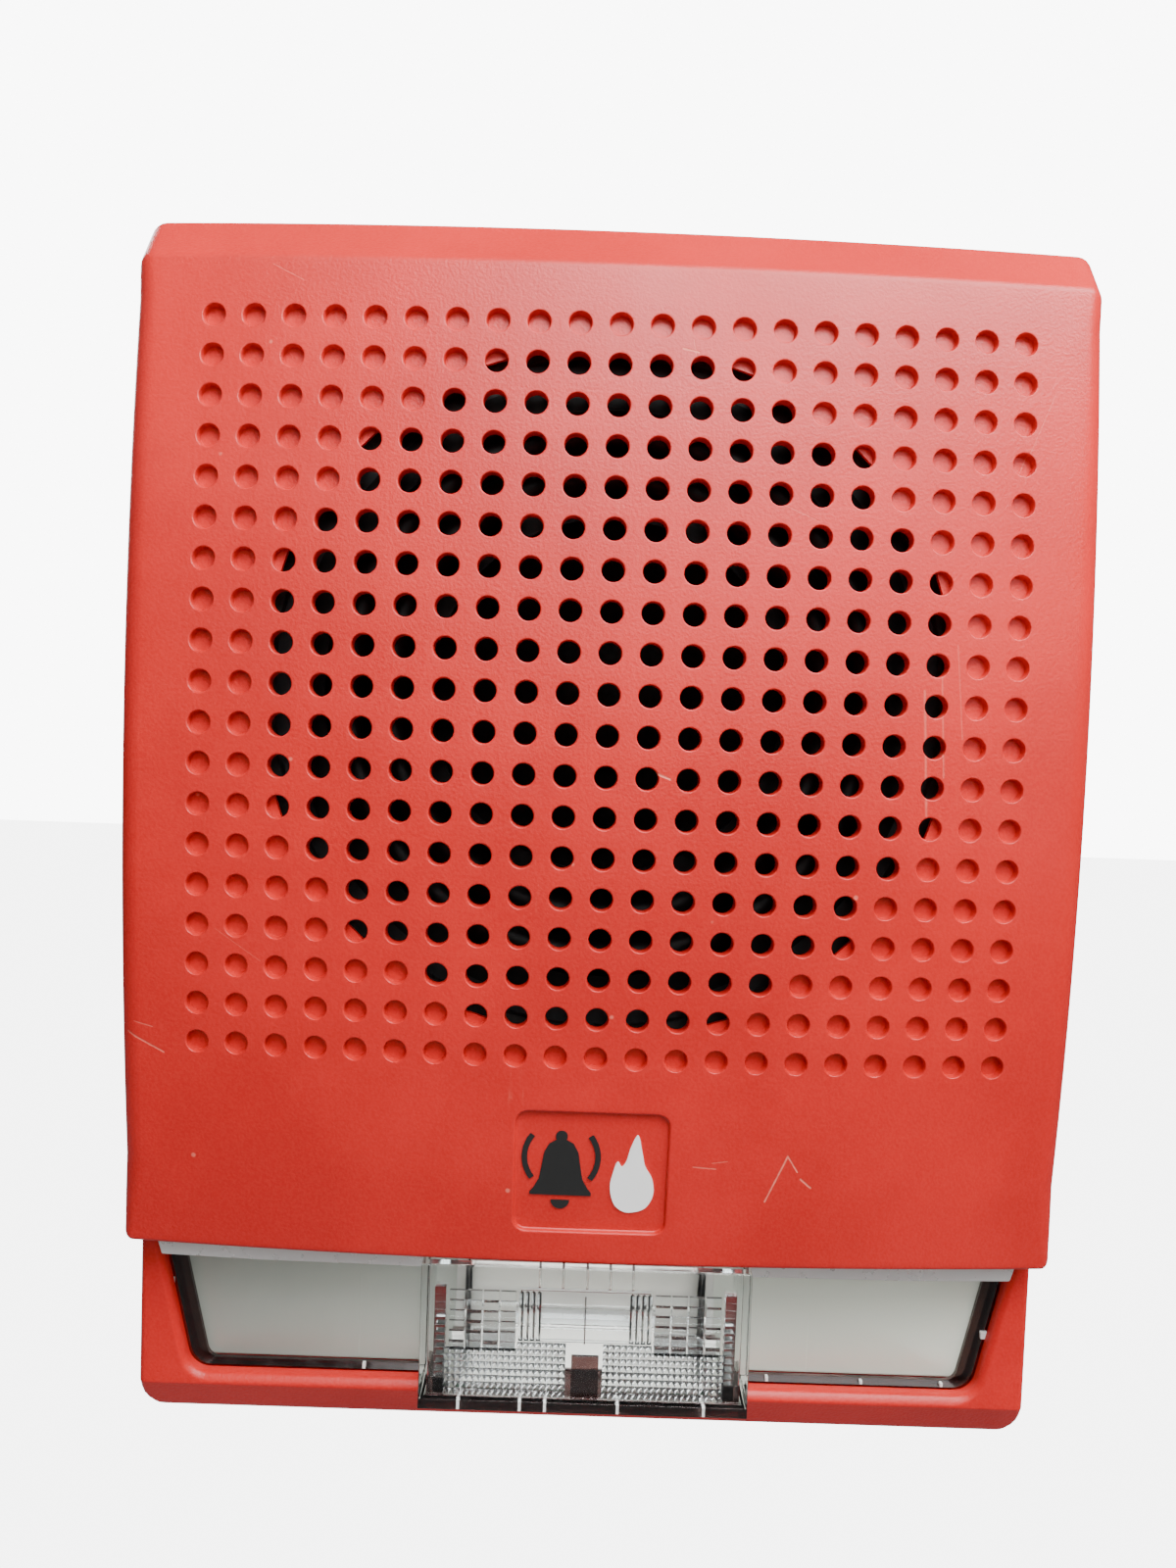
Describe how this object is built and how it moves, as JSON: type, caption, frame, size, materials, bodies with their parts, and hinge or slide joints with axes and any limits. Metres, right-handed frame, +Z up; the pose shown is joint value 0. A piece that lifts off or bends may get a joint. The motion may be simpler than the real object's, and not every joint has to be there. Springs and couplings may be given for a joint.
{
  "type": "fire alarm speaker strobe",
  "caption": "Wall-mounted red fire alarm speaker strobe: domed perforated cover over a loudspeaker, with a clear strobe lens and white reflectors below.",
  "frame": {"origin": "on the wall plane, at the loudspeaker's axis, which is the middle of the four wall box screw holes", "axes": "+X to the right seen from the front, +Y into the wall, +Z up"},
  "size_m": [0.127, 0.053, 0.165],
  "materials": {
    "cover_red": "fine grained moulded plastic with a soft sheen",
    "symbol_black": "matt black inlay",
    "symbol_white": "matt white inlay",
    "base_red": "plain moulded plastic",
    "clear_lens": "clear moulded polycarbonate",
    "panel_white": "satin metallised white",
    "dish_silver": "bright metallised reflector",
    "tube_glass": "clear glass",
    "electrode_metal": "plain nickel",
    "coil_dark": "varnished winding",
    "board_green": "solder resist",
    "capacitor_black": "shrink sleeve",
    "ferrite_grey": "ferrite",
    "housing_black": "moulded nylon",
    "slider_white": "moulded nylon",
    "screw_steel": "zinc plated",
    "basket_black": "black paint on pressed steel",
    "gasket_foam": "closed cell foam",
    "surround_rubber": "glossy treated rubber",
    "cone_black": "pressed paper",
    "dust_cap_black": "pressed paper",
    "former_kraft": "kraft paper",
    "coil_copper": "enamelled copper wire",
    "spider_cloth": "resin treated cloth",
    "plate_steel": "zinc plated steel",
    "magnet_ferrite": "sintered ferrite",
    "strip_brown": "phenolic board",
    "tab_tin": "tinned brass",
    "core_steel": "varnished laminations",
    "bobbin_yellow": "taped winding",
    "capacitor_blue": "shrink sleeve",
    "terminal_green": "moulded nylon",
    "clamp_brass": "tinned brass",
    "lead_red": "insulated wire",
    "lead_black": "insulated wire"
  },
  "bodies": {
    "base": {"base_plate": "base_red", "strobe_window": "clear_lens", "reflector_panel_left": "panel_white", "reflector_panel_right": "panel_white", "reflector_dish": "dish_silver", "flash_tube": "tube_glass", "tube_electrodes": "electrode_metal", "trigger_coil": "coil_dark", "strobe_board": "board_green", "flash_capacitor": "capacitor_black", "strobe_inductor": "ferrite_grey", "candela_housing": "housing_black", "window_screws": "screw_steel", "strobe_board_screws": "screw_steel", "speaker_basket": "basket_black", "speaker_gasket": "gasket_foam", "speaker_surround": "surround_rubber", "spider": "spider_cloth", "top_plate": "plate_steel", "magnet_ring": "magnet_ferrite", "pole_plate": "plate_steel", "speaker_screws": "screw_steel", "terminal_strip": "strip_brown", "speaker_tabs": "tab_tin", "audio_board": "board_green", "transformer_core": "core_steel", "transformer_bobbin": "bobbin_yellow", "blocking_capacitors": "capacitor_blue", "tap_housing": "housing_black", "terminal_block": "terminal_green", "terminal_screws": "screw_steel", "terminal_clamps": "clamp_brass", "audio_board_screws": "screw_steel", "speaker_leads": "lead_red", "strobe_leads": "lead_black"},
    "cover": {"front_cover": "cover_red", "badge_bell": "symbol_black", "badge_flame": "symbol_white"},
    "cone": {"speaker_cone": "cone_black", "dust_cap": "dust_cap_black", "coil_former": "former_kraft", "voice_coil": "coil_copper"},
    "candela_knob": {"candela_slider": "slider_white"},
    "tap_knob": {"tap_rotor": "slider_white"}
  },
  "joints": [
    {"name": "cover_swing", "type": "hinge", "parent": "base", "child": "cover", "pos_m": [0, -0.0046, 0.0572], "axis": [-1, 0, 0], "range_deg": [0, 20]},
    {"name": "cone_travel", "type": "slide", "parent": "base", "child": "cone", "axis": [0, -1, 0], "range_m": [-0.001, 0.001], "stiffness_N_per_m": 1500, "deforming": ["speaker_surround", "spider"]},
    {"name": "candela_select", "type": "slide", "parent": "base", "child": "candela_knob", "axis": [1, 0, 0], "range_m": [0, 0.006]},
    {"name": "tap_select", "type": "hinge", "parent": "base", "child": "tap_knob", "pos_m": [0.03, 0, -0.0435], "axis": [0, -1, 0], "range_deg": [0, 135]}
  ]
}
